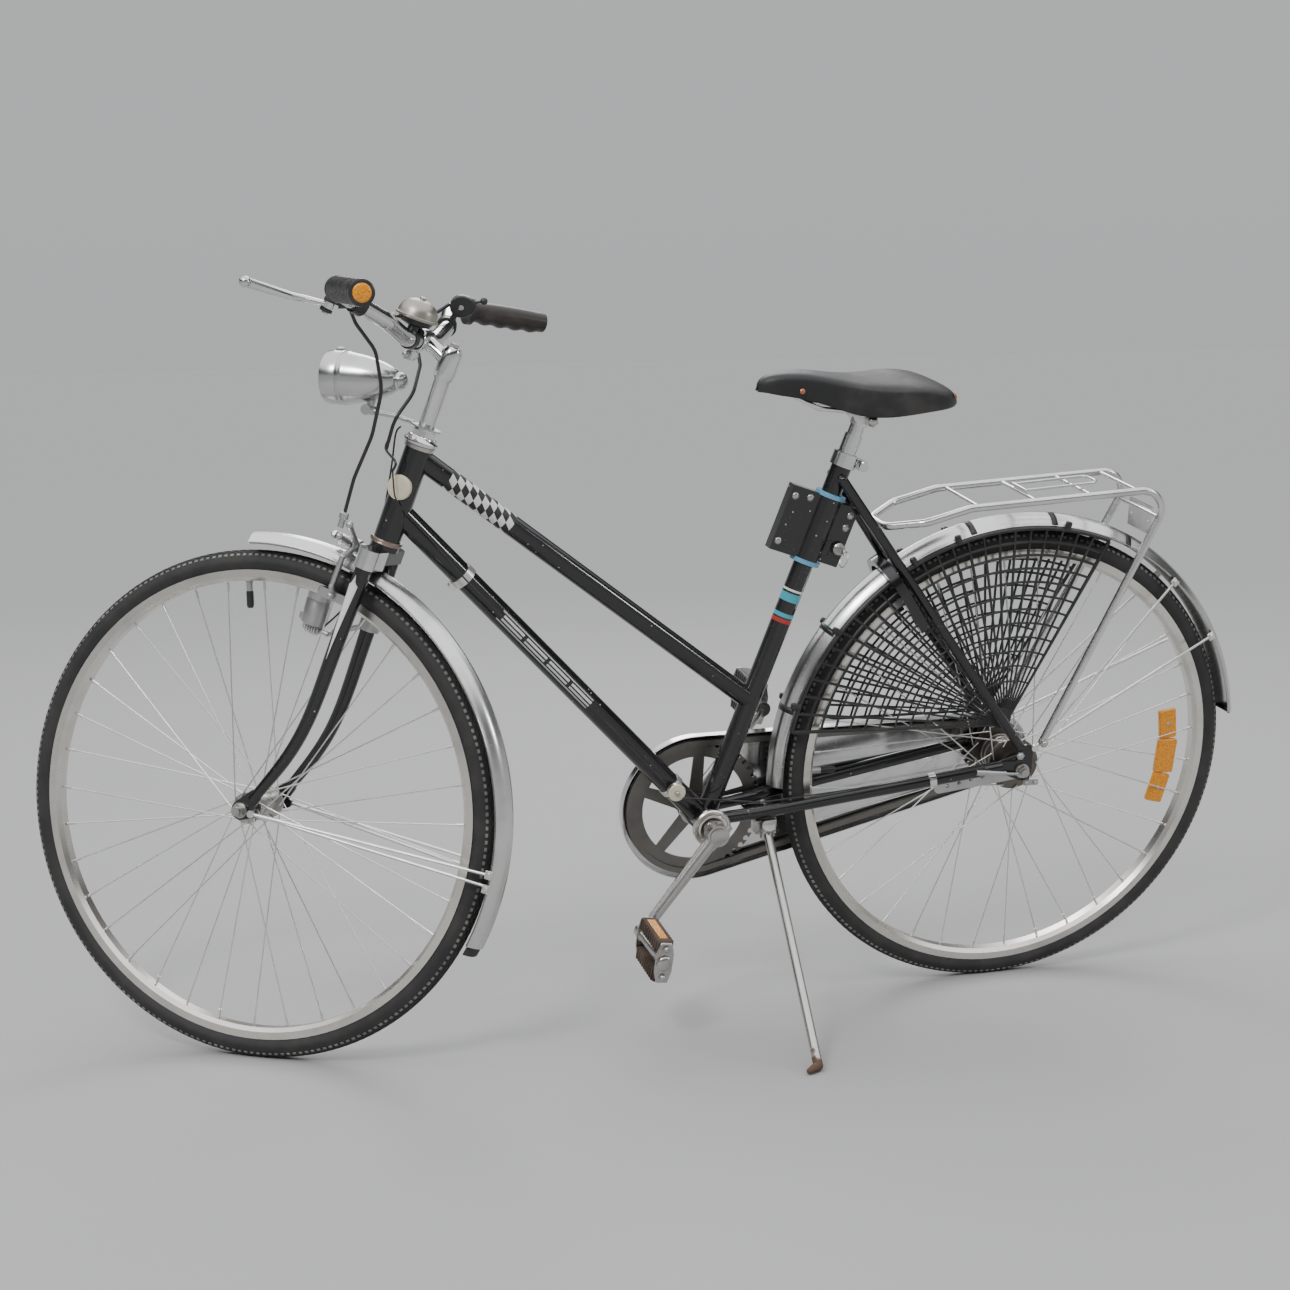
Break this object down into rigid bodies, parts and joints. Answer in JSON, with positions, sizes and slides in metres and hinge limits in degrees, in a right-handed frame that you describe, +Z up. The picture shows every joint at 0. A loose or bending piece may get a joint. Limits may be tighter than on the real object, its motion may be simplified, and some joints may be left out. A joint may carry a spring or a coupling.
{
  "type": "city bicycle",
  "caption": "City bicycle leaning on its side stand, front wheel turned to the right, with mudguards, rack, chain guard, skirt guards, headlight, dynamo and bell.",
  "frame": {"origin": "middle of the bounding box's footprint, on the ground", "axes": "+X from the front wheel towards the rear wheel, +Y to the bicycle's right, +Z up"},
  "size_m": [1.7272, 0.5773, 1.0386],
  "materials": {
    "black_paint": "gloss",
    "chrome_trim": "polished",
    "bright_steel": "satin",
    "dark_steel": "oiled",
    "tyre_rubber": "matte",
    "grip_rubber": "matte",
    "black_plastic": "satin",
    "dynamo_alloy": "satin",
    "bell_nickel": "weathered",
    "saddle_leather": "worn"
  },
  "bodies": {
    "frame": {"head_tube": "black_paint", "top_tube": "black_paint", "down_tube": "black_paint", "seat_tube": "black_paint", "bottom_bracket_shell": "black_paint", "chain_stays": "black_paint", "seat_stays": "black_paint", "bearing_cups": "chrome_trim", "seat_clamp": "chrome_trim", "rear_mudguard": "bright_steel", "rear_mudguard_stays": "bright_steel", "rear_rack": "chrome_trim", "chain_guard": "chrome_trim", "chain": "dark_steel", "skirt_guard_left": "black_plastic", "skirt_guard_right": "black_plastic", "lock_case": "black_paint", "ring_lock": "black_paint", "kickstand_bracket": "black_paint", "coaster_arm": "bright_steel", "rear_axle": "bright_steel", "gear_cable": "bright_steel", "cable_clamps": "bright_steel"},
    "steering": {"fork": "black_paint", "crown_cover": "chrome_trim", "headset_locknut": "chrome_trim", "stem": "chrome_trim", "handlebar": "chrome_trim", "grips": "grip_rubber", "control_clamps": "black_plastic", "fork_brackets": "bright_steel", "front_mudguard": "bright_steel", "front_mudguard_stays": "bright_steel", "front_axle": "bright_steel", "control_cables": "black_plastic", "bell": "bell_nickel"},
    "front_wheel": {"front_tyre": "tyre_rubber", "front_rim": "chrome_trim", "front_spokes": "bright_steel", "front_hub": "bright_steel"},
    "rear_wheel": {"rear_tyre": "tyre_rubber", "rear_rim": "chrome_trim", "rear_spokes": "bright_steel", "rear_hub": "bright_steel"},
    "crank": {"crankset": "chrome_trim", "chainring": "dark_steel"},
    "pedal_left": {"pedal_left": "grip_rubber"},
    "pedal_right": {"pedal_right": "grip_rubber"},
    "kickstand": {"kickstand": "bright_steel"},
    "brake_lever": {"brake_lever": "bright_steel"},
    "caliper_left": {"caliper_arm_left": "bright_steel"},
    "caliper_right": {"caliper_arm_right": "bright_steel"},
    "headlight": {"headlight": "chrome_trim"},
    "dynamo": {"dynamo": "dynamo_alloy"},
    "shift_lever": {"shift_lever": "black_plastic"},
    "bell_lever": {"bell_lever": "bright_steel"},
    "saddle": {"seatpost": "chrome_trim", "saddle_cover": "saddle_leather", "saddle_frame": "bright_steel"},
    "rack_clip": {"rack_clip": "chrome_trim"}
  },
  "joints": [
    {"name": "steering_turn", "type": "hinge", "parent": "frame", "child": "steering", "pos_m": [-0.41211, -0.00723, 0.69597], "axis": [0.3309, -0.1607, 0.9299], "range_deg": [-12.5, 87.5]},
    {"name": "front_wheel_spin", "type": "hinge", "parent": "steering", "child": "front_wheel", "pos_m": [-0.58006, 0.08357, 0.34234], "axis": [0.5748, 0.8159, -0.0635], "continuous": true},
    {"name": "rear_wheel_spin", "type": "hinge", "parent": "frame", "child": "rear_wheel", "pos_m": [0.50057, 0.05422, 0.33823], "axis": [0.0004, 0.9854, 0.1702], "continuous": true},
    {"name": "crank_spin", "type": "hinge", "parent": "frame", "child": "crank", "pos_m": [0.04044, 0.06443, 0.28011], "axis": [0.0004, 0.9854, 0.1702], "range_deg": [-75, 225]},
    {"name": "pedal_left_spin", "type": "hinge", "parent": "crank", "child": "pedal_left", "pos_m": [-0.06686, 0.00119, 0.13534], "axis": [0.0004, 0.9854, 0.1702], "continuous": true},
    {"name": "pedal_right_spin", "type": "hinge", "parent": "crank", "child": "pedal_right", "pos_m": [0.14774, 0.12767, 0.42487], "axis": [0.0004, 0.9854, 0.1702], "continuous": true},
    {"name": "kickstand_fold", "type": "hinge", "parent": "frame", "child": "kickstand", "pos_m": [0.1224, 0.02573, 0.26309], "axis": [-0.0532, -0.6819, 0.7295], "range_deg": [0, 87]},
    {"name": "brake_lever_pull", "type": "hinge", "parent": "steering", "child": "brake_lever", "pos_m": [-0.49197, -0.11339, 1.00285], "axis": [0.4037, -0.2152, 0.8892], "range_deg": [0, 20]},
    {"name": "caliper_left_close", "type": "hinge", "parent": "steering", "child": "caliper_left", "pos_m": [-0.44534, 0.01582, 0.69135], "axis": [0.7484, -0.5555, -0.3623], "range_deg": [0, 2.2]},
    {"name": "caliper_right_close", "type": "hinge", "parent": "steering", "child": "caliper_right", "pos_m": [-0.45282, 0.02138, 0.69497], "axis": [0.7484, -0.5555, -0.3623], "range_deg": [-2.2, 0]},
    {"name": "headlight_tilt", "type": "hinge", "parent": "steering", "child": "headlight", "pos_m": [-0.42435, 0.01483, 0.86868], "axis": [0.5748, 0.8159, -0.0635], "range_deg": [-10, 10]},
    {"name": "dynamo_swing", "type": "hinge", "parent": "steering", "child": "dynamo", "pos_m": [-0.49811, 0.09074, 0.57789], "axis": [0.7484, -0.5555, -0.3623], "range_deg": [0, 3.5]},
    {"name": "shift_lever_turn", "type": "hinge", "parent": "steering", "child": "shift_lever", "pos_m": [-0.28854, 0.05807, 1.00059], "axis": [0.2496, 0.9215, 0.2976], "range_deg": [-15, 15]},
    {"name": "bell_lever_push", "type": "hinge", "parent": "steering", "child": "bell_lever", "pos_m": [-0.39157, -0.05421, 0.98703], "axis": [0.3309, -0.1607, 0.9299], "range_deg": [-8, 5]},
    {"name": "saddle_height", "type": "slide", "parent": "frame", "child": "saddle", "axis": [0.3342, -0.1605, 0.9287], "range_m": [-0.02, 0.05]},
    {"name": "rack_clip_lift", "type": "hinge", "parent": "frame", "child": "rack_clip", "pos_m": [0.48899, -0.01466, 0.73703], "axis": [0.0004, 0.9854, 0.1702], "range_deg": [-70, 0]}
  ],
  "couplings": [
    {"joint": "caliper_left_close", "follows": "brake_lever_pull", "ratio": 0.11},
    {"joint": "caliper_right_close", "follows": "brake_lever_pull", "ratio": -0.11}
  ]
}
